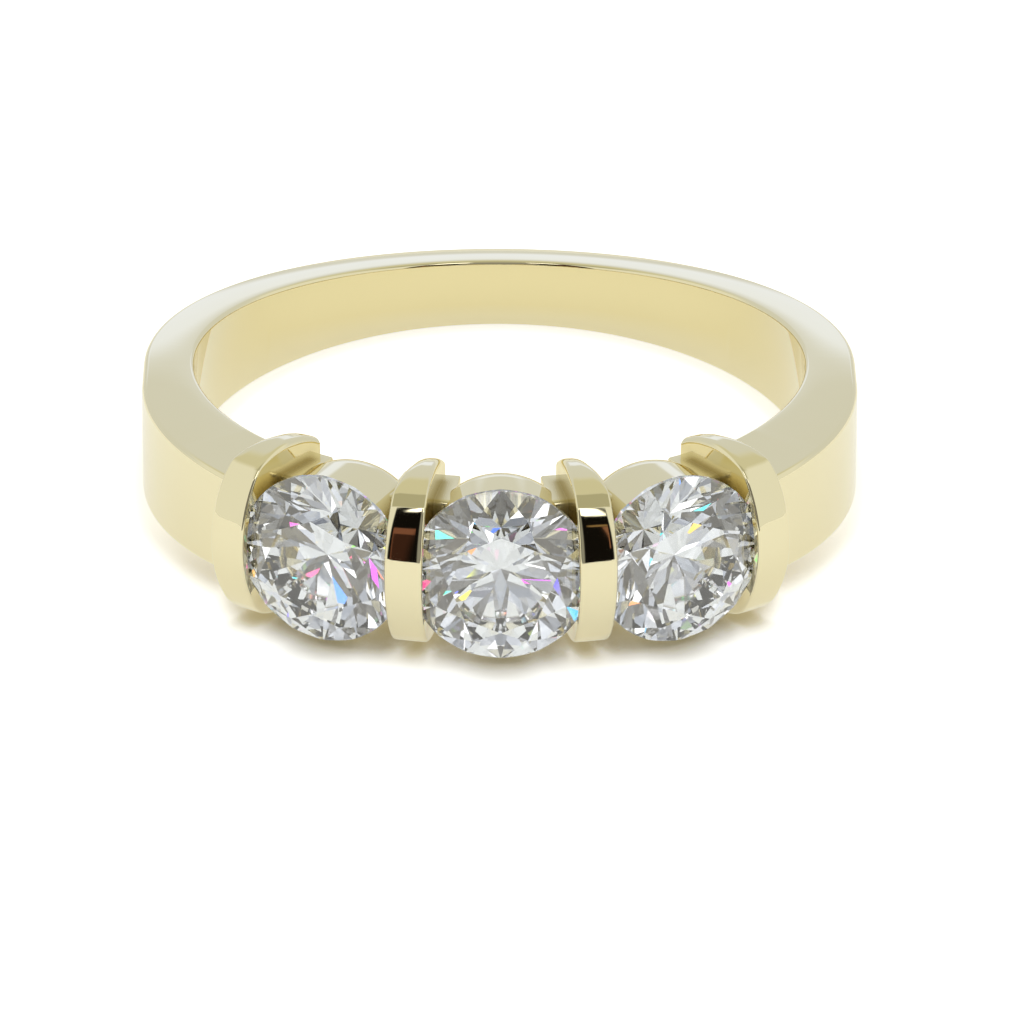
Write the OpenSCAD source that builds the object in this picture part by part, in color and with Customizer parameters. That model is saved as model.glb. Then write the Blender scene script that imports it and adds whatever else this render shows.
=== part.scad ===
// Three stone ring, bar set, lying on its side as it rests on a flat surface.
// The origin is the middle of the finger hole. The stones face -Y, and the surface lies level below.
// Inside this file the ring is first built with the finger along Z, and is then tipped onto its rest.
// Widths run along the finger, and heights are measured outwards from the finger.

/* [Finger] */
// Inside diameter of the ring
finger_d = 16.9; // [15:0.1:21]

/* [Shank] */
// Thickness of the band at the back and the sides
shank_t = 1.4; // [1.1:0.05:2]
// Width of the band at the back
back_w = 1.7; // [1.4:0.1:2.6]
// Width of the band where it is widest
shoulder_w = 3.06; // [2.7:0.02:3.6]
// How far in front of the finger's middle the band is widest
widest_at = 3; // [1:0.5:6]
// How far the round of the shoulders is drawn forward
shoulder_draw = 1.6; // [0.8:0.1:2.4]

/* [Stones] */
// Diameter of the centre stone
centre_stone_d = 4.86; // [4.6:0.02:5.1]
// Diameter of each side stone
side_stone_d = 4.74; // [4.5:0.02:4.9]
// Height of the girdles above the finger
girdle_rise = 2.85; // [2.6:0.05:3.3]
// Gap between neighbouring stones, inside a bar
stone_gap = 0.07; // [0.04:0.01:0.2]
// Table as a share of a stone's diameter
table_share = 0.57; // [0.53:0.01:0.62]
// Slope of the crown's main facets
crown_angle = 34.5; // [32:0.5:36]
// Slope of the pavilion's main facets
pavilion_angle = 40.8; // [40:0.1:42]
// Thickness of the girdle where it is thinnest
girdle_t = 0.04; // [0.02:0.01:0.08]
// Reach of the star facets from the table's edge to the girdle, as a share
star_share = 0.52; // [0.4:0.02:0.6]
// Reach of the lower girdle facets from the girdle to the culet, as a share
lower_share = 0.76; // [0.7:0.02:0.84]

/* [Bars] */
// Height of the bars' rounded fronts above the finger
bar_rise = 3.6; // [3.5:0.05:3.9]
// How far the front falls back from its middle to its top and bottom edges
bar_fall = 0.62; // [0.4:0.02:0.8]
// Width of a bar across its front edges
bar_front_w = 3.78; // [3.5:0.02:4]
// Width of a bar across its crest, where it is widest
bar_crest_w = 4.84; // [4.7:0.02:5]
// Height above the finger at which the crest is widest
bar_crest_rise = 1.45; // [1.3:0.05:1.7]
// Radius of the round of the crest
bar_crest_r = 3.05; // [2.8:0.05:4]
// Height above the finger at which the slope from the front edge reaches the crest's full width
bar_crest_to = 2.44; // [2.3:0.02:2.7]
// Thickness of an inner bar at its front
inner_bar_t = 1.04; // [0.9:0.02:1.1]
// Thickness of an end bar at its front
end_bar_t = 1.1; // [1:0.02:1.5]
// How far an end bar reaches over the girdle of its stone
end_bar_grip = 0.32; // [0.2:0.01:0.36]
// Width of the ledges that a bar has at its foot, under its stones
ledge_w = 3.2; // [2.9:0.05:3.4]
// Height of the ledges above the finger
ledge_rise = 1.8; // [1.5:0.05:2]
// How far the ledges reach from a bar
ledge_reach = 0.5; // [0.3:0.05:0.6]

/* [Seats] */
// Outer diameter of a seat
seat_d = 4.2; // [4:0.02:4.3]
// How far the rim of a seat lies below the girdle
seat_drop = 0.25; // [0.15:0.05:0.4]
// Radius of the rounding at the foot of a seat
seat_round_r = 1.35; // [1.2:0.05:1.5]
// Height above the finger at which that rounding starts
seat_round_rise = 1.17; // [1:0.05:1.3]
// Diameter of the hole from a seat to the finger
seat_hole_d = 2; // [1.6:0.1:2.4]
// Room round each stone in the metal
stone_room = 0.03; // [0.02:0.01:0.05]

/* [Hidden] */

// Roundness of true circles, which are exact in the finished solids
$fn = 96;
// Roundness of the large circles that taper the band, of which it takes a short arc
taper_fn = 720;
// Room beyond a face that a cut runs through
over = 0.5;

finger_r = finger_d / 2;
outer_r = finger_r + shank_t;
girdle_r = finger_r + girdle_rise;

// Number of main facets round a stone, and the angle from one main facet to the corner beside it
mains = 8;
half_step = 180 / mains;
// The facets meet just outside the round girdle, which then cuts them in scallops
facet_spread = 1.03;

// Angle from the centre stone's axis to a side stone's axis, seen along the finger
stone_step = 2 * asin((centre_stone_d / 2 + side_stone_d / 2 + stone_gap) / (2 * girdle_r));
// The inner bars stand over the gap between two stones
inner_bar_at = stone_step * (centre_stone_d + stone_gap) / (centre_stone_d + side_stone_d + 2 * stone_gap);
bar_r = finger_r + bar_rise;
// The round of the fronts, which meets the front edges
bar_round_r = (pow(bar_front_w / 2, 2) + pow(bar_fall, 2)) / (2 * bar_fall);
inner_bar_turn = 2 * asin(inner_bar_t / 2 / bar_r);
end_bar_turn = 2 * asin(end_bar_t / 2 / bar_r);
// The end bars stand beside the side stones and grip their outer edges
end_bar_from = stone_step + atan((side_stone_d / 2 - end_bar_grip) / girdle_r);
end_bar_at = end_bar_from + end_bar_turn / 2;
ledge_turn = 2 * asin(ledge_reach / 2 / (finger_r + ledge_rise));

// The band's side faces are parts of a large round, widest in front of the finger's middle
taper_run = outer_r + widest_at;
taper_rise = (shoulder_w - back_w) / 2;
taper_r = (taper_run * taper_run + taper_rise * taper_rise) / (2 * taper_rise);

// The ring rests on the back of the band and on the low point of the head that tips it most. The plane
// through such a point touches the round of the band's side face, or the band's rear corner.
function rest_slope(ahead, low) =
    let (
        past = ahead - widest_at,
        drop = taper_r + low - shoulder_w / 2,
        away = norm([past, drop]),
        slope = atan2(drop, past) - asin(taper_r / away),
        reach = sqrt(away * away - taper_r * taper_r) * cos(slope)
    )
    reach > ahead + outer_r ? atan((low - back_w / 2) / (outer_r + ahead)) : slope;
end_bar_to = end_bar_from + end_bar_turn;
// The crest's half width at a height above the finger, which is tried at so many places behind its widest
function crest_z(rise) =
    bar_crest_w / 2 - bar_crest_r + sqrt(pow(bar_crest_r, 2) - pow(rise - bar_crest_rise, 2));
crest_steps = 60;
rest_tilt = max(concat(
    [rest_slope(girdle_r, centre_stone_d / 2), rest_slope(girdle_r * cos(stone_step), side_stone_d / 2)],
    [
        for (k = [0:crest_steps])
            let (rise = bar_crest_rise * k / crest_steps)
                rest_slope((finger_r + rise) * cos(end_bar_to), crest_z(rise))
    ]
));

// A point on a round of radius r at angle a and height z
function on_round(r, a, z) = [r * cos(a), r * sin(a), z];

// Radii and heights of a brilliant's corners, from the middle of its girdle
function spread_r(d) = d / 2 * facet_spread;
function table_r(d) = d / 2 * table_share;
function crown_h(d) = (spread_r(d) - table_r(d)) * tan(crown_angle);
function pavilion_h(d) = spread_r(d) * tan(pavilion_angle);
function star_r(d) =
    let (inner = table_r(d) * cos(half_step)) inner + star_share * (d / 2 - inner);
function star_z(d) = girdle_t / 2 + (spread_r(d) - star_r(d) * cos(half_step)) * tan(crown_angle);
function lower_r(d) = (1 - lower_share) * d / 2;
function lower_z(d) = -girdle_t / 2 - (spread_r(d) - lower_r(d) * cos(half_step)) * tan(pavilion_angle);

// Corners: table, stars, upper girdle, lower girdle, lower facets' ends, culet
function brilliant_points(d) = concat(
    [for (k = [0:mains - 1]) on_round(table_r(d), 2 * k * half_step, girdle_t / 2 + crown_h(d))],
    [for (k = [0:mains - 1]) on_round(star_r(d), (2 * k + 1) * half_step, star_z(d))],
    [for (k = [0:2 * mains - 1]) on_round(spread_r(d), k * half_step, girdle_t / 2)],
    [for (k = [0:2 * mains - 1]) on_round(spread_r(d), k * half_step, -girdle_t / 2)],
    [for (k = [0:mains - 1]) on_round(lower_r(d), (2 * k + 1) * half_step, lower_z(d))],
    [[0, 0, -girdle_t / 2 - pavilion_h(d)]]
);
function table_i(k) = k % mains;
function star_i(k) = mains + (k + mains) % mains;
function upper_i(k) = 2 * mains + k % (2 * mains);
function under_i(k) = 4 * mains + k % (2 * mains);
function lower_i(k) = 6 * mains + (k + mains) % mains;
culet_i = 7 * mains;

function brilliant_faces() = concat(
    [[for (k = [mains - 1:-1:0]) table_i(k)]],
    [for (k = [0:mains - 1]) [table_i(k), table_i(k + 1), star_i(k)]],
    [for (k = [0:mains - 1]) [table_i(k), star_i(k), upper_i(2 * k), star_i(k - 1)]],
    [for (k = [0:mains - 1]) [star_i(k), upper_i(2 * k + 1), upper_i(2 * k)]],
    [for (k = [0:mains - 1]) [star_i(k), upper_i(2 * k + 2), upper_i(2 * k + 1)]],
    [for (k = [0:2 * mains - 1]) [under_i(k), upper_i(k), upper_i(k + 1), under_i(k + 1)]],
    [for (k = [0:mains - 1]) [lower_i(k), under_i(2 * k), under_i(2 * k + 1)]],
    [for (k = [0:mains - 1]) [lower_i(k), under_i(2 * k + 1), under_i(2 * k + 2)]],
    [for (k = [0:mains - 1]) [culet_i, lower_i(k - 1), under_i(2 * k), lower_i(k)]]
);

// Puts what is built with the finger along Z onto its rest
module at_rest() {
    rotate([-rest_tilt, 0, 0]) children();
}

// Puts what is built round Z, with its outside at +Z, round the axis of the stone at this turn
module facing(turn) {
    rotate([90, 0, turn]) children();
}

// A round brilliant with its girdle's middle at the origin and its table up
module brilliant(d) {
    intersection() {
        polyhedron(points = brilliant_points(d), faces = brilliant_faces(), convexity = 2);
        cylinder(d = d, h = 2 * d, center = true);
    }
}

// The space that a turning stone needs, with the room round it
module stone_space(d) {
    rotate_extrude()
        polygon([
            [0, -girdle_t / 2 - pavilion_h(d) - 2 * stone_room],
            [lower_r(d) + stone_room, lower_z(d) - stone_room],
            [d / 2 + stone_room, -girdle_t / 2 - (facet_spread - 1) * d / 2 - stone_room],
            [d / 2 + stone_room, girdle_t / 2 + (facet_spread - 1) * d / 2 + stone_room],
            [star_r(d) + stone_room, star_z(d) + stone_room],
            [table_r(d) + stone_room, girdle_t / 2 + crown_h(d) + stone_room],
            [0, girdle_t / 2 + crown_h(d) + stone_room]
        ]);
}

// The band seen along the finger: a half round at the back, straight sides and drawn shoulders
module band_outline() {
    intersection() {
        circle(r = outer_r);
        translate([-2 * outer_r, 0]) square([4 * outer_r, 2 * outer_r]);
    }
    translate([-outer_r, -shoulder_draw]) square([2 * outer_r, shoulder_draw]);
    translate([0, -shoulder_draw])
        intersection() {
            circle(r = outer_r);
            translate([-2 * outer_r, -2 * outer_r]) square([4 * outer_r, 2 * outer_r]);
        }
}

// The band seen from the side: narrow at the back and widest in front of the finger's middle
module band_taper() {
    intersection() {
        translate([-widest_at, shoulder_w / 2 - taper_r]) circle(r = taper_r, $fn = taper_fn);
        translate([-widest_at, taper_r - shoulder_w / 2]) circle(r = taper_r, $fn = taper_fn);
    }
}

// The front that the head takes up, between the middles of the end bars
module head_sector(reach) {
    polygon([
        [0, 0],
        [reach * sin(-end_bar_at), -reach * cos(end_bar_at)],
        [0, -2 * reach],
        [reach * sin(end_bar_at), -reach * cos(end_bar_at)]
    ]);
}

module shank() {
    intersection() {
        linear_extrude(height = 2 * shoulder_w, center = true)
            difference() {
                band_outline();
                head_sector(2 * outer_r);
            }
        rotate([90, 0, 90])
            linear_extrude(height = 4 * outer_r, center = true) band_taper();
    }
}

// The upper edge of a bar's outline, clear of its crest's round, from the finger outwards and past its front
function bar_edge() = [
    [finger_r - over, bar_crest_w / 2 + over],
    [finger_r + bar_crest_to, bar_crest_w / 2],
    [bar_r - bar_fall, bar_front_w / 2],
    [bar_r + over, bar_front_w / 2 - bar_fall]
];

// A wedge whose sides point at the finger's middle, centred on its turn
module wedge(at, turn) {
    rotate([0, 0, at - 90 - turn / 2]) rotate_extrude(angle = turn) children();
}

module bar(at, turn) {
    edge = bar_edge();
    crest_drop = bar_crest_r - bar_crest_w / 2;
    wedge(at, turn)
        intersection() {
            polygon(concat(edge, [for (k = [len(edge) - 1:-1:0]) [edge[k][0], -edge[k][1]]]));
            translate([bar_r - bar_round_r, 0]) circle(r = bar_round_r);
            translate([finger_r + bar_crest_rise, -crest_drop]) circle(r = bar_crest_r);
            translate([finger_r + bar_crest_rise, crest_drop]) circle(r = bar_crest_r);
        }
}

// The foot of a bar, wider than the bar by a ledge on either side. Its inner face stays clear of the bar's.
module ledge(at, turn) {
    wedge(at, turn + 2 * ledge_turn)
        translate([finger_r - over / 2, -ledge_w / 2]) square([ledge_rise + over / 2, ledge_w]);
}

// A bowl behind a stone, built round Z with the finger's middle at the origin
module seat() {
    core_r = seat_d / 2 - seat_round_r;
    top = girdle_rise - seat_drop;
    translate([0, 0, finger_r])
        rotate_extrude() {
            translate([0, -over]) square([core_r, top + over]);
            translate([0, seat_round_rise]) square([seat_d / 2, top - seat_round_rise]);
            intersection() {
                translate([core_r, seat_round_rise]) circle(r = seat_round_r);
                translate([0, -over]) square([seat_d / 2, top + over]);
            }
        }
}

// What is cut out behind and around one stone
module stone_cut(turn, d) {
    facing(turn) {
        translate([0, 0, girdle_r]) stone_space(d);
        translate([0, 0, finger_r - 2 * over]) cylinder(d = seat_hole_d, h = girdle_rise);
    }
}

module shank_and_setting() {
    color("khaki")
        at_rest()
            difference() {
                union() {
                    shank();
                    for (side = [-1, 1]) {
                        bar(side * inner_bar_at, inner_bar_turn);
                        ledge(side * inner_bar_at, inner_bar_turn);
                        bar(side * end_bar_at, end_bar_turn);
                        ledge(side * end_bar_from, 0);
                    }
                    for (side = [-1, 0, 1]) facing(side * stone_step) seat();
                }
                cylinder(r = finger_r, h = 4 * shoulder_w, center = true);
                stone_cut(0, centre_stone_d);
                for (side = [-1, 1]) stone_cut(side * stone_step, side_stone_d);
            }
}

module set_stone(turn, d) {
    color("aliceblue") at_rest() facing(turn) translate([0, 0, girdle_r]) brilliant(d);
}

module left_stone() {
    set_stone(-stone_step, side_stone_d);
}

module centre_stone() {
    set_stone(0, centre_stone_d);
}

module right_stone() {
    set_stone(stone_step, side_stone_d);
}

shank_and_setting();
left_stone();
centre_stone();
right_stone();
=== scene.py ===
import math

import bmesh
import bpy
from mathutils import Matrix, Vector


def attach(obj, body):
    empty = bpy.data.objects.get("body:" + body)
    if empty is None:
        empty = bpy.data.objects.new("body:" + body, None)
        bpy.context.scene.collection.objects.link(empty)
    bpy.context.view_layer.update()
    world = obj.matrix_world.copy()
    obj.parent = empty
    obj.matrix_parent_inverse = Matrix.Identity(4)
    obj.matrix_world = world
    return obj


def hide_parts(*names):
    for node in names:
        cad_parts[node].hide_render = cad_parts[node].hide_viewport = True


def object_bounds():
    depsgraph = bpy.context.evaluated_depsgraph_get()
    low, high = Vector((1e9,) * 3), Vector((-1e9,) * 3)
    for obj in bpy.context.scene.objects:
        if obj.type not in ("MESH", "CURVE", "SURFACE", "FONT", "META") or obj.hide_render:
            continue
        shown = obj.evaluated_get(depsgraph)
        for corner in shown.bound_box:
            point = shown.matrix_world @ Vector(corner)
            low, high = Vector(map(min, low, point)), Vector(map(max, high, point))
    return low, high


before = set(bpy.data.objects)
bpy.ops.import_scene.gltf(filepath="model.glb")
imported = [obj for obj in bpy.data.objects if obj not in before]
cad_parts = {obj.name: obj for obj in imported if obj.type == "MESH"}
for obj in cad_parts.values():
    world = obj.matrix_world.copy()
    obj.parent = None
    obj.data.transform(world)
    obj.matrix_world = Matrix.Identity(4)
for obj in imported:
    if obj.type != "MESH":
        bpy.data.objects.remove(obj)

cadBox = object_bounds()
scene = bpy.context.scene
radians = math.radians
millimetre = 0.001

# The ring is built in millimetres with the finger along Z and the stones at -Y, then tipped onto its rest
ring = {
    "fingerRadius": 8.45,
    "restTilt": 5.12986,  # degrees, as the CAD part lies
    "girdleRadius": 11.3,  # from the finger's middle to the stones' girdles
    "stoneGap": 0.07,  # between neighbouring stones
}
toRest = Matrix.Rotation(-radians(ring["restTilt"]), 4, "X")

stoneDiameters = {"left_stone": 4.74, "centre_stone": 4.86, "right_stone": 4.74}
stonesApart = (stoneDiameters["left_stone"] + stoneDiameters["centre_stone"]) / 2 + ring["stoneGap"]
stoneStep = math.degrees(2 * math.asin(stonesApart / 2 / ring["girdleRadius"]))  # seen along the finger
stoneTurns = {"left_stone": -stoneStep, "centre_stone": 0, "right_stone": stoneStep}

meshing = {
    "mergeWithin": 0.0002,
    "smoothUnder": 32,  # degrees between faces that shade as one
}


def finishedPiece(bm, name):
    bmesh.ops.remove_doubles(bm, verts=bm.verts, dist=meshing["mergeWithin"])
    bmesh.ops.recalc_face_normals(bm, faces=bm.faces)
    mesh = bpy.data.meshes.new(name)
    bm.to_mesh(mesh)
    bm.free()
    mesh.shade_smooth()
    mesh.set_sharp_from_angle(angle=radians(meshing["smoothUnder"]))
    piece = bpy.data.objects.new(name, mesh)
    scene.collection.objects.link(piece)
    return piece


def combine(target, tools, operation):
    for tool in tools:
        step = target.modifiers.new(tool.name, "BOOLEAN")
        step.object = tool
        step.operation = operation
        step.solver = "EXACT"
    bpy.context.view_layer.update()
    result = target.evaluated_get(bpy.context.evaluated_depsgraph_get())
    mesh = bpy.data.meshes.new_from_object(result)
    target.modifiers.clear()
    target.data = mesh
    for tool in tools:
        bpy.data.objects.remove(tool)


def facingStone(turn):
    # takes what is built round Z, with its outside at +Z, to the axis of the stone at this turn
    return Matrix.Rotation(radians(turn), 4, "Z") @ Matrix.Rotation(radians(90), 4, "X")


def spunRound(bm, profile, steps):
    # a closed profile of (radius, height) pairs, spun once round Z
    corners = [bm.verts.new((radius, 0, height)) for radius, height in profile]
    edges = [bm.edges.new((a, b)) for a, b in zip(corners, corners[1:] + corners[:1])]
    bmesh.ops.spin(
        bm,
        geom=corners + edges,
        axis=(0, 0, 1),
        cent=(0, 0, 0),
        angle=radians(360),
        steps=steps,
        use_merge=True,
    )


shank = {
    "thickness": 1.4,
    "backWidth": 1.7,
    "shoulderWidth": 3.06,
    "widestAhead": 3.0,  # of the finger's middle
    "shoulderDraw": 1.6,  # how far the round of the shoulders stands ahead
    "innerRounding": 0.12,
    "outerRounding": 0.17,
    "roundingSteps": 5,
    "endAt": 37.8,  # degrees from the middle of the head, inside the end bars
    "steps": 190,
}


def bandReach(turn):
    # the band's outer radius at a turn from the middle of the head
    outer = ring["fingerRadius"] + shank["thickness"]
    ahead, aside = math.cos(turn), abs(math.sin(turn))
    if ahead <= 0:
        return outer
    if outer / aside * ahead < shank["shoulderDraw"]:
        return outer / aside
    return shank["shoulderDraw"] * ahead + math.sqrt(outer**2 - (shank["shoulderDraw"] * aside) ** 2)


def bandHalfWidth(y):
    outer = ring["fingerRadius"] + shank["thickness"]
    run = outer + shank["widestAhead"]
    rise = (shank["shoulderWidth"] - shank["backWidth"]) / 2
    sideRound = (run**2 + rise**2) / (2 * rise)
    return shank["shoulderWidth"] / 2 - sideRound + math.sqrt(sideRound**2 - (y + shank["widestAhead"]) ** 2)


def makeShank():
    bm = bmesh.new()
    inner, outer = ring["fingerRadius"], ring["fingerRadius"] + shank["thickness"]
    half = shank["backWidth"] / 2
    places = ((inner, -half), (outer, -half), (outer, half), (inner, half))
    corners = [bm.verts.new((radius, 0, height)) for radius, height in places]
    bm.faces.new(corners)
    middle = (inner + outer) / 2
    for rounding, wanted in (
        ("innerRounding", lambda x: x < middle),
        ("outerRounding", lambda x: x > middle),
    ):
        bmesh.ops.bevel(
            bm,
            geom=[v for v in bm.verts if wanted(v.co.x) and v in corners],
            offset=shank[rounding],
            segments=shank["roundingSteps"],
            profile=0.5,
            affect="VERTICES",
            material=-1,
        )
        corners = [v for v in corners if v.is_valid]
    sweep = 360 - 2 * shank["endAt"]
    toStart = Matrix.Rotation(radians(shank["endAt"] - 90), 3, "Z")
    bmesh.ops.rotate(bm, verts=bm.verts, cent=(0, 0, 0), matrix=toStart)
    bmesh.ops.spin(
        bm,
        geom=bm.verts[:] + bm.edges[:] + bm.faces[:],
        axis=(0, 0, 1),
        cent=(0, 0, 0),
        angle=radians(sweep),
        steps=shank["steps"],
    )
    for v in bm.verts:  # the shoulders thicken and widen, and the roundings keep their size
        turn = math.atan2(v.co.x, -v.co.y)
        flat = Vector((v.co.x, v.co.y, 0))
        if flat.length > middle:
            flat = flat.normalized() * (flat.length + bandReach(turn) - outer)
        z = v.co.z + math.copysign(bandHalfWidth(flat.y) - half, v.co.z)
        v.co = (flat.x, flat.y, z)
    return finishedPiece(bm, "shank")


bars = {
    "frontAt": 12.05,  # radius of the fronts' middle line
    "frontFall": 0.62,
    "frontHalf": 1.89,
    "slopeTopAt": 11.174,  # where the slope from the front meets the crest
    "crestAt": 9.9,
    "crestHalf": 2.42,
    "crestRound": 3.05,
    "footAt": 7.9,  # inside the finger's room, where it is cut off
    "roundedFrom": 8.35,
    "innerTurns": (10.13, 15.07),  # degrees from the middle of the head
    "endTurns": (35.18, 40.4),
    "frontSteps": 36,
    "crestSteps": 18,
    "middleSteps": 6,
    "roundingFront": 0.075,
    "roundingRear": (0.2, 0.42),  # of the wall nearer to the middle of the head, and of the other
    "roundingRun": 1.6,  # radius over which the one becomes the other
    "roundingSteps": 5,
    "frontCornerRounding": 0.05,
    "slopeCornerRounding": 0.12,
    "cornerSteps": 5,
}


def outlinePoint(bm, radius, height):
    return bm.verts.new((0, -radius, height))


def sweepOutline(bm, start, turn, steps):
    # carries the outline that lies in the middle plane round the finger
    bmesh.ops.rotate(bm, verts=bm.verts, cent=(0, 0, 0), matrix=Matrix.Rotation(radians(start), 3, "Z"))
    bmesh.ops.spin(
        bm,
        geom=bm.verts[:] + bm.edges[:] + bm.faces[:],
        axis=(0, 0, 1),
        cent=(0, 0, 0),
        angle=radians(turn),
        steps=steps,
    )
    bmesh.ops.recalc_face_normals(bm, faces=bm.faces)


def edgeRounding(radius, wall):
    # the edges are rounder at the rear, and as at the front again where the finger's room cuts them off
    rear = 0
    if radius > bars["roundedFrom"]:
        rear = min(max((bars["slopeTopAt"] - radius) / bars["roundingRun"], 0), 1)
    return bars["roundingFront"] + (bars["roundingRear"][wall] - bars["roundingFront"]) * rear


def inwardWays(corners):
    # for each corner of the outline, the way to the outline's inside
    flat = [Vector((-v.co.y, v.co.z)) for v in corners]
    middle = sum(flat, Vector((0, 0))) / len(flat)
    ways = []
    for before, here, after in zip(flat[-1:] + flat[:-1], flat, flat[1:] + flat[:1]):
        along = (here - before).normalized() + (after - here).normalized()
        across = Vector((-along.y, along.x)).normalized()
        ways.append(across if across.dot(middle - here) > 0 else -across)
    return ways


def makeBar(name, turns, side):
    bm = bmesh.new()
    frontRound = (bars["frontHalf"] ** 2 + bars["frontFall"] ** 2) / (2 * bars["frontFall"])
    swing = math.asin(bars["frontHalf"] / frontRound)
    start = outlinePoint(bm, bars["frontAt"] - bars["frontFall"], -bars["frontHalf"])
    bmesh.ops.spin(
        bm,
        geom=[start],
        axis=(1, 0, 0),
        cent=(0, -(bars["frontAt"] - frontRound), 0),
        angle=-2 * swing,
        steps=bars["frontSteps"],
    )
    front = sorted(bm.verts, key=lambda v: v.co.z)
    crest = []
    for k in range(bars["crestSteps"] + 1):
        radius = bars["slopeTopAt"] + (bars["footAt"] - bars["slopeTopAt"]) * k / bars["crestSteps"]
        drop = bars["crestRound"] - math.sqrt(bars["crestRound"] ** 2 - (radius - bars["crestAt"]) ** 2)
        crest.append(outlinePoint(bm, radius, bars["crestHalf"] - drop))
    lower = [bm.verts.new((v.co.x, v.co.y, -v.co.z)) for v in reversed(crest)]
    bm.faces.new(front + crest + lower)
    for corners, rounding in (
        ([front[-1], front[0]], "frontCornerRounding"),
        ([crest[0], lower[-1]], "slopeCornerRounding"),
    ):
        bmesh.ops.bevel(
            bm,
            geom=corners,
            offset=bars[rounding],
            segments=bars["cornerSteps"],
            profile=0.5,
            affect="VERTICES",
            material=-1,
        )
    place = bm.verts.layers.int.new("place in the outline")
    corners = next(iter(bm.faces)).verts[:]
    for k, v in enumerate(corners):
        v[place] = k
    inward = inwardWays(corners)
    rounded, straight = bars["roundingSteps"], bars["middleSteps"]
    steps = 2 * rounded + straight
    width = turns[1] - turns[0]
    sweepOutline(bm, side * turns[0], side * width, steps)
    for v in bm.verts:
        radius = math.hypot(v.co.x, v.co.y)
        turn = abs(math.degrees(math.atan2(v.co.x, -v.co.y)))
        step = round((turn - turns[0]) / width * steps)
        fromWall = min(step, steps - step, rounded) / rounded * radians(90)
        reaches = [edgeRounding(radius, wall) for wall in (0, 1)]
        way = inward[v[place]] * reaches[step > steps / 2] * (1 - math.sin(fromWall))
        asides = [math.degrees(reach * (1 - math.cos(fromWall)) / radius) for reach in reaches]
        if step < rounded:
            turn = turns[0] + asides[0]
        elif step > steps - rounded:
            turn = turns[1] - asides[1]
        else:
            turn = turns[0] + asides[0] + (width - sum(asides)) * (step - rounded) / straight
        turn = radians(side * turn)
        v.co = (math.sin(turn) * (radius + way.x), -math.cos(turn) * (radius + way.x), v.co.z + way.y)
    return finishedPiece(bm, name)


ledges = {
    "footAt": 8.25,
    "topAt": 10.25,
    "half": 1.6,
    "reach": 2.795,  # degrees past a bar
    "cornerRounding": 0.16,
    "cornerSteps": 5,
    "rounding": 0.06,
    "roundingSteps": 3,
    "steps": 6,
}


def makeLedge(name, turns):
    bm = bmesh.new()
    corners = [
        outlinePoint(bm, radius, height)
        for radius, height in (
            (ledges["footAt"], -ledges["half"]),
            (ledges["topAt"], -ledges["half"]),
            (ledges["topAt"], ledges["half"]),
            (ledges["footAt"], ledges["half"]),
        )
    ]
    bm.faces.new(corners)
    bmesh.ops.bevel(
        bm,
        geom=corners[1:3],
        offset=ledges["cornerRounding"],
        segments=ledges["cornerSteps"],
        profile=0.5,
        affect="VERTICES",
        material=-1,
    )
    sweepOutline(bm, turns[0], turns[1] - turns[0], ledges["steps"])
    bmesh.ops.bevel(
        bm,
        geom=[e for e in bm.edges if any(len(f.verts) > 4 for f in e.link_faces)],  # round both ends
        offset=ledges["rounding"],
        segments=ledges["roundingSteps"],
        profile=0.5,
        affect="EDGES",
        material=-1,
    )
    return finishedPiece(bm, name)


seats = {
    "radius": 2.1,
    "roundRadius": 1.35,
    "roundRise": 1.17,
    "rimDrop": 0.25,
    "holeRadius": 1.0,
    "footDepth": 0.1,  # below the finger hole's surface, before it is cut off there
    "roundSteps": 24,
    "steps": 96,
}


def makeSeat(name, turn):
    # a bowl behind one stone, drilled through to the finger
    bm = bmesh.new()
    roundAt = ring["fingerRadius"] + seats["roundRise"]
    roundRadius = seats["roundRadius"]
    core = seats["radius"] - roundRadius
    lowest = math.asin((seats["roundRise"] + seats["footDepth"]) / roundRadius)
    outline = []
    for k in range(seats["roundSteps"] + 1):
        a = lowest * (1 - k / seats["roundSteps"])
        outline.append((core + roundRadius * math.cos(a), roundAt - roundRadius * math.sin(a)))
    top = ring["girdleRadius"] - seats["rimDrop"]
    foot = ring["fingerRadius"] - seats["footDepth"]
    hole = seats["holeRadius"]
    spunRound(bm, [(hole, foot)] + outline + [(seats["radius"], top), (hole, top)], seats["steps"])
    bmesh.ops.transform(bm, verts=bm.verts, matrix=facingStone(turn))
    return finishedPiece(bm, name)


# The metal is cut out for each stone by the space that the stone would need to turn in
stoneCut = {
    "room": 0.02,
    "clearAbove": 2,
    "girdle": 0.04,
    "tableShare": 0.57,
    "crownAngle": 34.5,
    "pavilionAngle": 40.8,
    "facetSpread": 1.03,
    "starShare": 0.52,
    "halfStep": 22.5,  # degrees from a main facet to the corner beside it
    "steps": 128,
}


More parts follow.
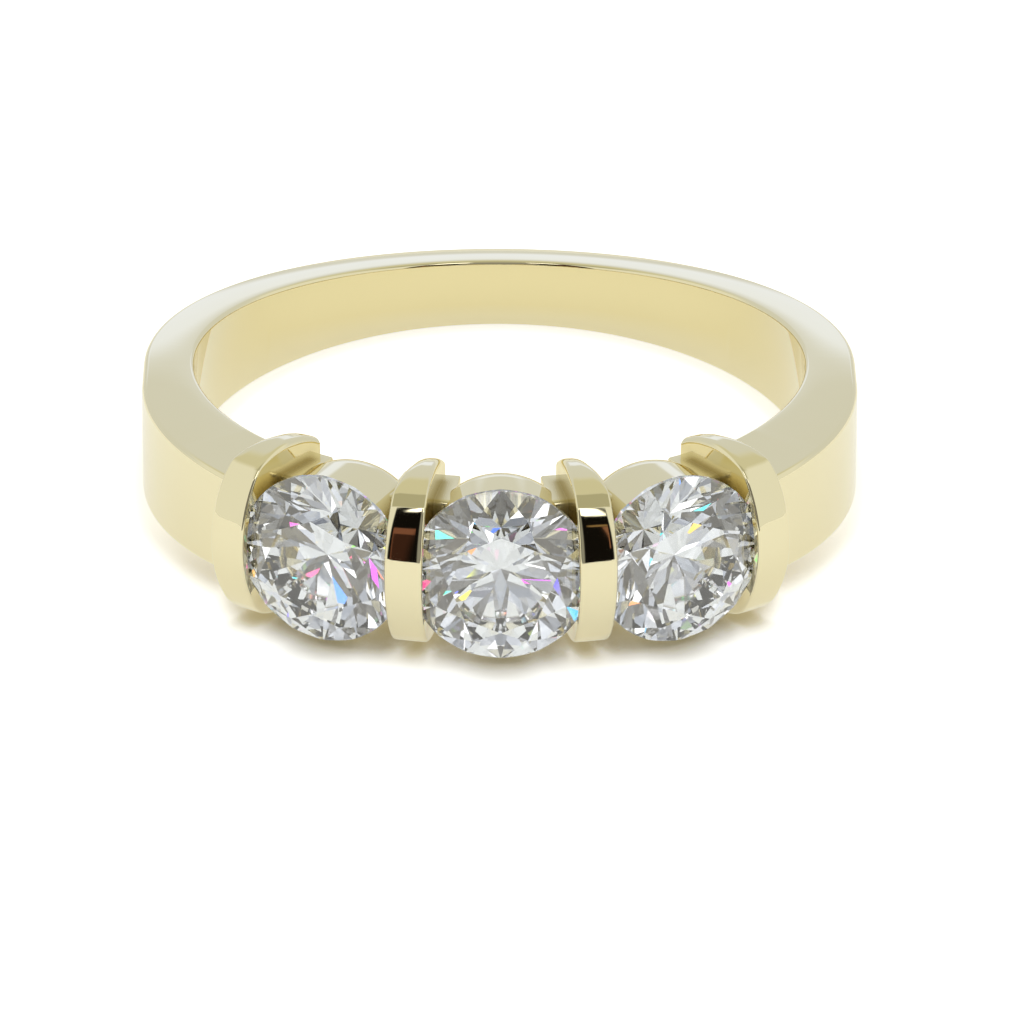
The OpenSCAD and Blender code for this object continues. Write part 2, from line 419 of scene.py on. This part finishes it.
def makeStoneRoom(name, diameter, turn):
    bm = bmesh.new()
    c = stoneCut
    slope = math.tan(radians(c["crownAngle"]))
    beside = math.cos(radians(c["halfStep"]))
    spread = diameter / 2 * c["facetSpread"]
    table = diameter / 2 * c["tableShare"]
    crown = (spread - table) * slope
    pavilion = spread * math.tan(radians(c["pavilionAngle"]))
    edge = (c["facetSpread"] - 1) * diameter / 2
    star = table * beside + c["starShare"] * (diameter / 2 - table * beside)
    starRise = c["girdle"] / 2 + (spread - star * beside) * slope
    rim = diameter / 2 + c["room"]
    profile = [
        (0, -c["girdle"] / 2 - pavilion - 2 * c["room"]),
        (rim, -c["girdle"] / 2 - edge - c["room"]),
        (rim, c["girdle"] / 2 + edge + c["room"]),
        (star + c["room"], starRise + c["room"]),
        (table + c["room"], c["girdle"] / 2 + crown + c["room"]),
        (0, c["girdle"] / 2 + crown + c["clearAbove"]),
    ]
    spunRound(bm, profile, c["steps"])
    bmesh.ops.translate(bm, verts=bm.verts, vec=(0, 0, ring["girdleRadius"]))
    bmesh.ops.transform(bm, verts=bm.verts, matrix=facingStone(turn))
    return finishedPiece(bm, name)


fingerRoom = {
    "past": 0.01,  # the band's inside stands proud of the head's by this
    "depth": 12,
    "steps": 360,
}


def makeFingerRoom():
    bm = bmesh.new()
    radius = ring["fingerRadius"] + fingerRoom["past"]
    bmesh.ops.create_cone(
        bm,
        cap_ends=True,
        segments=fingerRoom["steps"],
        radius1=radius,
        radius2=radius,
        depth=fingerRoom["depth"],
    )
    return finishedPiece(bm, "finger_room")


past = ledges["reach"]
head, *headPieces = [
    makeBar(name, bars[turns], side)
    for name, turns, side in (
        ("left_end_bar", "endTurns", -1),
        ("left_inner_bar", "innerTurns", -1),
        ("right_inner_bar", "innerTurns", 1),
        ("right_end_bar", "endTurns", 1),
    )
]
headPieces += [
    makeLedge(name, turns)
    for name, turns in (
        ("left_end_ledge", (-bars["endTurns"][0] - past, -bars["endTurns"][0] + past)),
        ("left_inner_ledge", (-bars["innerTurns"][1] - past, -bars["innerTurns"][0] + past)),
        ("right_inner_ledge", (bars["innerTurns"][0] - past, bars["innerTurns"][1] + past)),
        ("right_end_ledge", (bars["endTurns"][0] - past, bars["endTurns"][0] + past)),
    )
]
headPieces += [makeSeat("seat_" + name, turn) for name, turn in stoneTurns.items()]
combine(head, headPieces, "UNION")
rooms = [makeStoneRoom("room_" + name, stoneDiameters[name], stoneTurns[name]) for name in stoneTurns]
combine(head, [makeFingerRoom()] + rooms, "DIFFERENCE")
gold = makeShank()
combine(gold, [head], "UNION")
gold.name = "gold_shank_and_setting"

bm = bmesh.new()
bm.from_mesh(gold.data)
# the cuts leave corners that all but touch
bmesh.ops.remove_doubles(bm, verts=bm.verts, dist=meshing["mergeWithin"])
bmesh.ops.transform(bm, verts=bm.verts, matrix=Matrix.Scale(millimetre, 4) @ toRest)
bm.to_mesh(gold.data)
goldVolume = bm.calc_volume() * 1e9
bm.free()
gold.data.set_sharp_from_angle(angle=radians(meshing["smoothUnder"]))
weighted = gold.modifiers.new("even shading", "WEIGHTED_NORMAL")
weighted.keep_sharp = True
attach(gold, "root")
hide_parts("shank_and_setting")
print("gold", len(gold.data.polygons), "faces and", round(goldVolume, 1), "cubic mm")


class Signal:  # one socket in a shader tree, so that shader maths reads as an expression
    def __init__(self, tree, socket=None):
        self.tree = tree
        self.socket = socket

    def node(self, kind, settings=None, sockets=None, out=0):
        made = self.tree.nodes.new(kind)
        for name, value in (settings or {}).items():
            if name == "stops":
                ramp = made.color_ramp.elements
                while len(ramp) < len(value):
                    ramp.new(1)
                for stop, (place, colour) in zip(ramp, value):
                    stop.position = place
                    stop.color = colour
            else:
                setattr(made, name, value)
        for name, value in (sockets or {}).items():
            if isinstance(value, Signal):
                self.tree.links.new(value.socket, made.inputs[name])
            else:
                made.inputs[name].default_value = value
        return Signal(self.tree, made.outputs[out]) if len(made.outputs) else None

    def intoOutput(self, kind="ShaderNodeOutputMaterial"):
        self.node(kind, None, {"Surface": self})

    def maths(self, operation, *values):
        return self.node("ShaderNodeMath", {"operation": operation}, dict(enumerate(values)))

    def __add__(self, other):
        return self.maths("ADD", self, other)

    def __radd__(self, other):
        return self.maths("ADD", other, self)

    def __sub__(self, other):
        return self.maths("SUBTRACT", self, other)

    def __rsub__(self, other):
        return self.maths("SUBTRACT", other, self)

    def __mul__(self, other):
        return self.maths("MULTIPLY", self, other)

    def __rmul__(self, other):
        return self.maths("MULTIPLY", other, self)

    def between(self, low, high, start=0.0, end=1.0):
        return self.node(
            "ShaderNodeMapRange",
            {"interpolation_type": "SMOOTHSTEP"},
            {"Value": self, "From Min": low, "From Max": high, "To Min": start, "To Max": end},
        )


def newMaterial(name):
    material = bpy.data.materials.new(name)
    material.use_nodes = True
    tree = material.node_tree
    tree.nodes.clear()
    return material, Signal(tree)


def mixColours(signal, factor, first, second):
    return signal.node(
        "ShaderNodeMix",
        {"data_type": "RGBA"},
        {0: factor, 6: first, 7: second},
        out=2,
    )


def within(signal, low, high, soft):
    return signal.between(low - soft, low + soft) * signal.between(high - soft, high + soft, 1.0, 0.0)


def distanceAlong(start, place, axis):
    return start.node("ShaderNodeVectorMath", {"operation": "DOT_PRODUCT"}, {0: place, 1: axis}, out="Value")


goldFinish = {
    "colour": (0.85, 0.775, 0.525, 1),
    "deepColour": (0.82, 0.745, 0.49, 1),
    "roughness": 0.035,
    "roughnessSpread": 0.03,
    "cloudScale": 260,
    "cloudDetail": 3.0,
    "grainScale": 2600,
    "grainDetail": 2.0,
    "scratchScale": 900.0,
    "scratchStretch": (1.0, 1.0, 14.0),
    "scratchDetail": 4.0,
    "scratchStrength": 0.25,
    "scratchDepth": 0.0000012,
}

# Beside the walls of the bars the gold is painted darker, as painted shade in the corners, and made rougher,
# as gold that no polishing wheel reaches
goldCornerShadeAndDullness = {
    # painted shade: the darker gold in the corners beside the bar walls
    "colour": (0.50, 0.41, 0.19, 1),
    "roughness": 0.4,
    "reach": (8.75, 11.3, 0.25),  # radii in mm, and the width of the soft edge
    "height": (1.5, 2.1),  # where it fades
    "turn": (0.2, 2.6),  # degrees from a wall, where it fades
    "wallEdge": 0.05,  # degrees
}


def makeGoldCornerShadeAndDullness(start, place):
    # the ring's own directions, in mm
    across, outwards, along = (
        distanceAlong(start, place, toRest @ Vector(axis) / millimetre)
        for axis in ((1, 0, 0), (0, -1, 0), (0, 0, 1))
    )
    radius = start.maths("SQRT", across * across + outwards * outwards)
    height = start.maths("ABSOLUTE", along)
    turn = start.maths("ABSOLUTE", start.maths("DEGREES", start.maths("ARCTAN2", across, outwards)))
    edge = goldCornerShadeAndDullness["wallEdge"]
    beside = 0
    for wall, way in ((bars["innerTurns"][0], -1), (bars["innerTurns"][1], 1), (bars["endTurns"][0], -1)):
        past = (turn - wall) * way
        fading = past.between(*goldCornerShadeAndDullness["turn"], 1.0, 0.0)
        beside = start.maths("MAXIMUM", beside, past.between(-edge, edge) * fading)
    return within(radius, *goldCornerShadeAndDullness["reach"]) * height.between(*goldCornerShadeAndDullness["height"], 1.0, 0.0) * beside


def makeGoldMaterial():
    material, start = newMaterial("polished_yellow_gold")
    g = goldFinish
    place = start.node("ShaderNodeTexCoord", out="Object")

    def noise(kind, where):
        sockets = {"Vector": where, "Scale": g[kind + "Scale"], "Detail": g[kind + "Detail"]}
        return start.node("ShaderNodeTexNoise", None, sockets)

    cloud = noise("cloud", place)
    stretched = start.node("ShaderNodeMapping", None, {"Vector": place, "Scale": g["scratchStretch"]})
    # mask of the painted shade in the corners beside the bar walls, where the gold is also rougher
    corner = makeGoldCornerShadeAndDullness(start, place)
    colour = mixColours(start, cloud, g["colour"], g["deepColour"])
    spread = noise("grain", place) * cloud * g["roughnessSpread"]
    bump = start.node(
        "ShaderNodeBump",
        None,
        {
            "Height": noise("scratch", stretched),
            "Strength": g["scratchStrength"],
            "Distance": g["scratchDepth"],
        },
    )
    shader = start.node(
        "ShaderNodeBsdfPrincipled",
        None,
        {
            # painted shade in the corners mixed into the gold's colour
            "Base Color": mixColours(start, corner, colour, goldCornerShadeAndDullness["colour"]),
            "Metallic": 1.0,
            "Roughness": g["roughness"] + spread + corner * goldCornerShadeAndDullness["roughness"],
            "Normal": bump,
        },
    )
    shader.intoOutput()
    return material


gold.data.materials.clear()
gold.data.materials.append(makeGoldMaterial())


diamondFinish = {
    "colour": (0.975, 0.988, 1, 1),
    "index": 2.417,
    "girdleRoughness": 0.2,
    "girdleHalf": (0.000072, 0.00012),  # where the frost of the girdle fades
    "frostScale": 9000.0,
    "frostDetail": 2.0,
}


def makeDiamondMaterial(name, turn):
    material, start = newMaterial(name)
    d = diamondFinish
    place = start.node("ShaderNodeTexCoord", out="Object")
    axis = toRest @ Matrix.Rotation(radians(turn), 4, "Z") @ Vector((0, -1, 0))
    along = distanceAlong(start, place, axis)
    off = start.maths("ABSOLUTE", along - ring["girdleRadius"] * millimetre)
    girdle = off.between(*d["girdleHalf"], 1.0, 0.0)
    frost = start.node(
        "ShaderNodeTexNoise",
        None,
        {"Vector": place, "Scale": d["frostScale"], "Detail": d["frostDetail"]},
    )
    shader = start.node(
        "ShaderNodeBsdfPrincipled",
        None,
        {
            "Base Color": d["colour"],
            "Roughness": girdle * frost * d["girdleRoughness"],
            "IOR": d["index"],
            "Transmission Weight": 1.0,
        },
    )
    shader.intoOutput()
    return material


for name, turn in stoneTurns.items():
    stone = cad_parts[name]
    stone.data.materials.clear()
    stone.data.materials.append(makeDiamondMaterial("diamond_" + name, turn))
print("materials made")


table = {
    "half": 1.2,
    "colour": (0.86, 0.86, 0.86, 1),
    # painted light: inside the ring the table takes the yellow of light thrown back by the gold, for what
    # the gold sees
    "inRing": (0.80, 0.74, 0.50, 1),  # lit by what the gold throws back
    "inRingFades": (0.0065, 0.0085),  # from the middle of the ring
    # painted shade: the table behind the ring is darker, for what the gold sees
    "behind": (0.62, 0.63, 0.62, 1),
    "behindFrom": (0.012, 0.024),
    # painted light in the stones: seen through them, the table takes a bluish grey that it has nowhere else
    "throughStones": (0.61, 0.645, 0.68, 1),
    "glow": 0.42,
    "glowSeen": 0.78,  # towards the camera, so that the table turns white and its shadows stay
    # painted contact shadow: towards the camera the table is darkened and warmed near the ring, as if lit by
    # the gold
    "contactColour": (0.86, 0.78, 0.56, 1),  # in front of the ring, lit by the gold
    "contactShade": 0.0012,  # how far the ring keeps the glow off
    "contactSky": (0.34, 0.86),  # share of the sky that is seen, for the darkest part and for none
    "contactFades": (-0.0095, -0.002),  # from the front towards the back
    "contactAtSides": 0.7,
    "contactSamples": 8,
}

# What the stones gather from the room through their facets: a mosaic of cloths and cards with small lamps
stoneRoom = {
    "scale": 4.0,
    "stops": (
        (0.0, (0.05, 0.05, 0.055, 1)),
        (0.18, (0.13, 0.12, 0.10, 1)),
        (0.34, (0.26, 0.28, 0.32, 1)),
        (0.58, (0.54, 0.585, 0.66, 1)),
        (0.8, (1.0, 1.05, 1.12, 1)),
        (0.93, (1.7, 1.7, 1.7, 1)),
    ),
    "lift": (1.0, 1.03, 1.08, 1),
    "liftShare": 0.45,
    "liftFrom": (0.05, 0.45),  # towards the right
    "whiteScale": 9.0,
    "whiteSize": 0.24,
    "white": (2.0, 2.0, 2.0, 1),
    "fireScale": 11.0,
    "fireSize": 0.2,
    "fireSaturation": 0.88,
    "fireStrength": 1.9,
    "lampEdge": 0.02,
}

# Its panels go by height above the horizon and by turn, as the ones below do
stonePanels = (
    {"height": (29, 52, 3), "turn": (-40, 57, 3), "colour": (0.09, 0.08, 0.06, 1)},
    {"height": (-5, 12, 2), "turn": (-80, -42, 3), "colour": (0.13, 0.12, 0.10, 1)},
    {"height": (-5, 16, 2), "turn": (-31, -7, 3), "colour": (0.70, 0.73, 0.79, 1)},
    {"height": (20, 46, 3), "turn": (50, 72, 4), "colour": (0.20, 0.18, 0.145, 1)},
    {"height": (28, 46, 3), "turn": (-72, -42, 4), "colour": (0.14, 0.125, 0.10, 1)},
)

# What stands round the table. Pitch runs from 0 at the front horizon over 90 overhead to 180 at the back
# horizon, turn from 0 at the front to 90 at the right, and aside from -1 at the left to 1 at the right.
# Each range ends with the width of its soft edge.
surroundings = (
    {"pitch": (135, 186, 8), "aside": (-0.9, 0.9, 0.1), "colour": (0.75, 0.775, 0.80, 1)},
    {"pitch": (166, 176, 2), "aside": (-0.2, 0.2, 0.06), "colour": (0.96, 1.04, 1.3, 1)},
    {"pitch": (98, 138, 5), "aside": (-0.55, 0.55, 0.1), "colour": (0.71, 0.70, 0.56, 1)},
    {"pitch": (62, 100, 3), "aside": (-0.55, 0.55, 0.1), "colour": (0.49, 0.48, 0.365, 1)},
    {"pitch": (-9, 60, 4), "turn": (-36, 36, 2), "colour": (0.30, 0.30, 0.29, 1)},
    {"pitch": (-9, 60, 2), "turn": (-36, -16, 1.5), "colour": (0.006, 0.005, 0.0045, 1)},
    {"pitch": (-9, 60, 2), "turn": (16, 36, 1.5), "colour": (0.006, 0.005, 0.0045, 1)},
    {"pitch": (51.5, 62, 1), "turn": (-31.5, -16, 1), "colour": (2.6, 2.6, 2.6, 1)},
    {"pitch": (47.5, 62, 1), "turn": (16, 34, 1), "colour": (2.6, 2.6, 2.6, 1)},
    {"pitch": (-2, 30, 2), "turn": (-30.5, -23.5, 1.5), "colour": (0.045, 0.018, 0.012, 1)},
    {"pitch": (-1, 30, 1), "turn": (-31.3, -29, 0.7), "colour": (0.14, 0.055, 0.035, 1)},
    {"pitch": (28.5, 34.5, 0.8), "turn": (-31.3, -23.5, 0.8), "colour": (0.21, 0.085, 0.055, 1)},
    {"pitch": (36.3, 38.3, 0.4), "turn": (25.6, 31.6, 1), "colour": (0.27, 0.17, 0.08, 1)},
    {"pitch": (13, 36, 1.5), "turn": (29.4, 31.6, 0.4), "colour": (0.28, 0.13, 0.08, 1)},
)


tent = {
    "colour": (0.90, 0.91, 0.87, 1),
    "backdrop": (1.2, 1.2, 1.2, 1),  # behind the ring in the picture
}


def grey(level):
    return (level, level, level, 1)


def makeTableSide(start, colour, glow):
    return start.node(
        "ShaderNodeBsdfPrincipled",
        None,
        {
            "Base Color": colour,
            "Roughness": 1.0,
            "Specular IOR Level": 0.0,
            "Emission Color": glow,
            "Emission Strength": 1.0,
        },
    )


def makeTable():
    bm = bmesh.new()
    bmesh.ops.create_grid(bm, x_segments=2, y_segments=2, size=table["half"])
    bmesh.ops.translate(bm, verts=bm.verts, vec=(0, 0, cadBox[0].z))
    floor = finishedPiece(bm, "floor")
    material, start = newMaterial("white_table")
    place = start.node("ShaderNodeTexCoord", out="Object")
    x, y, _ = (start.node("ShaderNodeSeparateXYZ", None, {"Vector": place}, out=k) for k in "XYZ")
    fromMiddle = start.maths("SQRT", x * x + y * y)
    # painted light from the gold on the table inside the ring
    colour = mixColours(start, fromMiddle.between(*table["inRingFades"]), table["inRing"], table["colour"])
    # painted shade on the table behind the ring
    colour = mixColours(start, y.between(*table["behindFrom"]), colour, table["behind"])
    through = start.node("ShaderNodeLightPath", out="Is Transmission Ray")
    # painted light in the stones: the table's tone for rays through them
    colour = mixColours(start, through, colour, table["throughStones"])
    # painted contact shadow, from how much of the sky the table sees near the ring
    sky = start.node(
        "ShaderNodeAmbientOcclusion",
        {"samples": table["contactSamples"]},
        {"Distance": table["contactShade"]},
        out="AO",
    )
    atSides = y.between(*table["contactFades"], 0.0, table["contactAtSides"])
    clear = start.maths("MAXIMUM", sky.between(*table["contactSky"]), atSides)
    # the painted contact shadow's colour and glow, for the camera only
    seenColour = mixColours(start, clear, table["contactColour"], table["colour"])
    seenGlow = mixColours(start, clear, grey(0.0), grey(table["glowSeen"]))
    mixed = start.node(
        "ShaderNodeMixShader",
        None,
        {
            0: start.node("ShaderNodeLightPath", out="Is Camera Ray"),
            1: makeTableSide(start, colour, grey(table["glow"])),
            2: makeTableSide(start, seenColour, seenGlow),
        },
    )
    mixed.intoOutput()
    floor.data.materials.append(material)


def panelMask(angles, panel):
    mask = 1.0
    for name, place in panel.items():
        if name in angles:
            mask = within(angles[name], *place) * mask
    return mask


def makeStoneSide(start, direction, angles):
    r = stoneRoom

    def cells(scale, out):
        return start.node("ShaderNodeTexVoronoi", None, {"Vector": direction, "Scale": r[scale]}, out=out)

    def chance(scale):
        return start.node("ShaderNodeSeparateColor", None, {"Color": cells(scale, "Color")})

    def lamps(scale, size):
        return cells(scale, "Distance").between(r[size] - r["lampEdge"], r[size], 1.0, 0.0)

    colour = start.node("ShaderNodeValToRGB", {"stops": r["stops"]}, {"Fac": chance("scale")})
    lift = angles["aside"].between(*r["liftFrom"], 0.0, r["liftShare"])
    colour = mixColours(start, lift, colour, r["lift"])
    for panel in stonePanels:
        colour = mixColours(start, panelMask(angles, panel), colour, panel["colour"])
    colour = mixColours(start, lamps("whiteScale", "whiteSize"), colour, r["white"])
    fire = start.node(
        "ShaderNodeCombineColor",
        {"mode": "HSV"},
        {"Red": chance("fireScale"), "Green": r["fireSaturation"], "Blue": r["fireStrength"]},
    )
    return mixColours(start, lamps("fireScale", "fireSize"), colour, fire)


def makeTent():
    world = bpy.data.worlds.new("white_tent")
    scene.world = world
    world.use_nodes = True
    world.node_tree.nodes.clear()
    start = Signal(world.node_tree)
    direction = start.node("ShaderNodeTexCoord", out="Generated")
    x, y, z = (start.node("ShaderNodeSeparateXYZ", None, {"Vector": direction}, out=k) for k in "XYZ")
    angles = {
        "pitch": start.maths("DEGREES", start.maths("ARCTAN2", z, 0 - y)),
        "turn": start.maths("DEGREES", start.maths("ARCTAN2", x, 0 - y)),
        "height": start.maths("DEGREES", start.maths("ARCSINE", z)),
        "aside": x,
    }
    colour = tent["colour"]
    for panel in surroundings:
        colour = mixColours(start, panelMask(angles, panel), colour, panel["colour"])
    # rays from a stone see its own side of the room, but not those that light the table through it
    fromTable = start.maths("MINIMUM", start.node("ShaderNodeLightPath", out="Diffuse Depth"), 1.0)
    through = start.node("ShaderNodeLightPath", out="Is Transmission Ray") * (1 - fromTable)
    seen = start.node("ShaderNodeLightPath", out="Is Camera Ray")
    room, stoneSide, backdrop = (
        start.node("ShaderNodeBackground", None, {"Color": value})
        for value in (colour, makeStoneSide(start, direction, angles), tent["backdrop"])
    )
    reflected = start.node("ShaderNodeMixShader", None, {0: through, 1: room, 2: stoneSide})
    shown = start.node("ShaderNodeMixShader", None, {0: seen, 1: reflected, 2: backdrop})
    shown.intoOutput("ShaderNodeOutputWorld")
    world.cycles.sampling_method = "NONE"  # the tent is even enough, and each sample is much quicker


makeTable()
makeTent()

photoView = {
    "distance": 0.280,
    "elevation": 22.955,  # over the plane of the ring
    "yaw": -0.276,
    "roll": 0.191,
    "lens": 354.9,
    "aimRight": 0.349,
    "aimDown": 2.859,
}


def makeCamera():
    v = photoView
    e, yaw, roll = (radians(v[k]) for k in ("elevation", "yaw", "roll"))
    towards = Vector((math.sin(yaw) * math.cos(e), -math.cos(yaw) * math.cos(e), math.sin(e)))
    right = Vector((math.cos(yaw), math.sin(yaw), 0))
    up = right.cross(-towards)
    right, up = right * math.cos(roll) + up * math.sin(roll), up * math.cos(roll) - right * math.sin(roll)
    place = towards * v["distance"]
    aim = (right * v["aimRight"] - up * v["aimDown"]) * millimetre
    back = (place - aim).normalized()
    right = up.cross(back).normalized()
    up = back.cross(right)
    turned = Matrix((right, up, back)).transposed().to_4x4()
    turned.translation = place
    data = bpy.data.cameras.new("photo_camera")
    data.sensor_width = 36
    data.lens = v["lens"]
    data.clip_start = 0.01
    data.clip_end = 10
    camera = bpy.data.objects.new("photo_camera", data)
    scene.collection.objects.link(camera)
    camera.matrix_world = toRest @ turned
    scene.camera = camera


makeCamera()

scene.view_settings.view_transform = "Standard"
scene.cycles.max_bounces = 14
scene.cycles.glossy_bounces = 10
scene.cycles.transmission_bounces = 14
scene.cycles.diffuse_bounces = 2
print("studio ready")
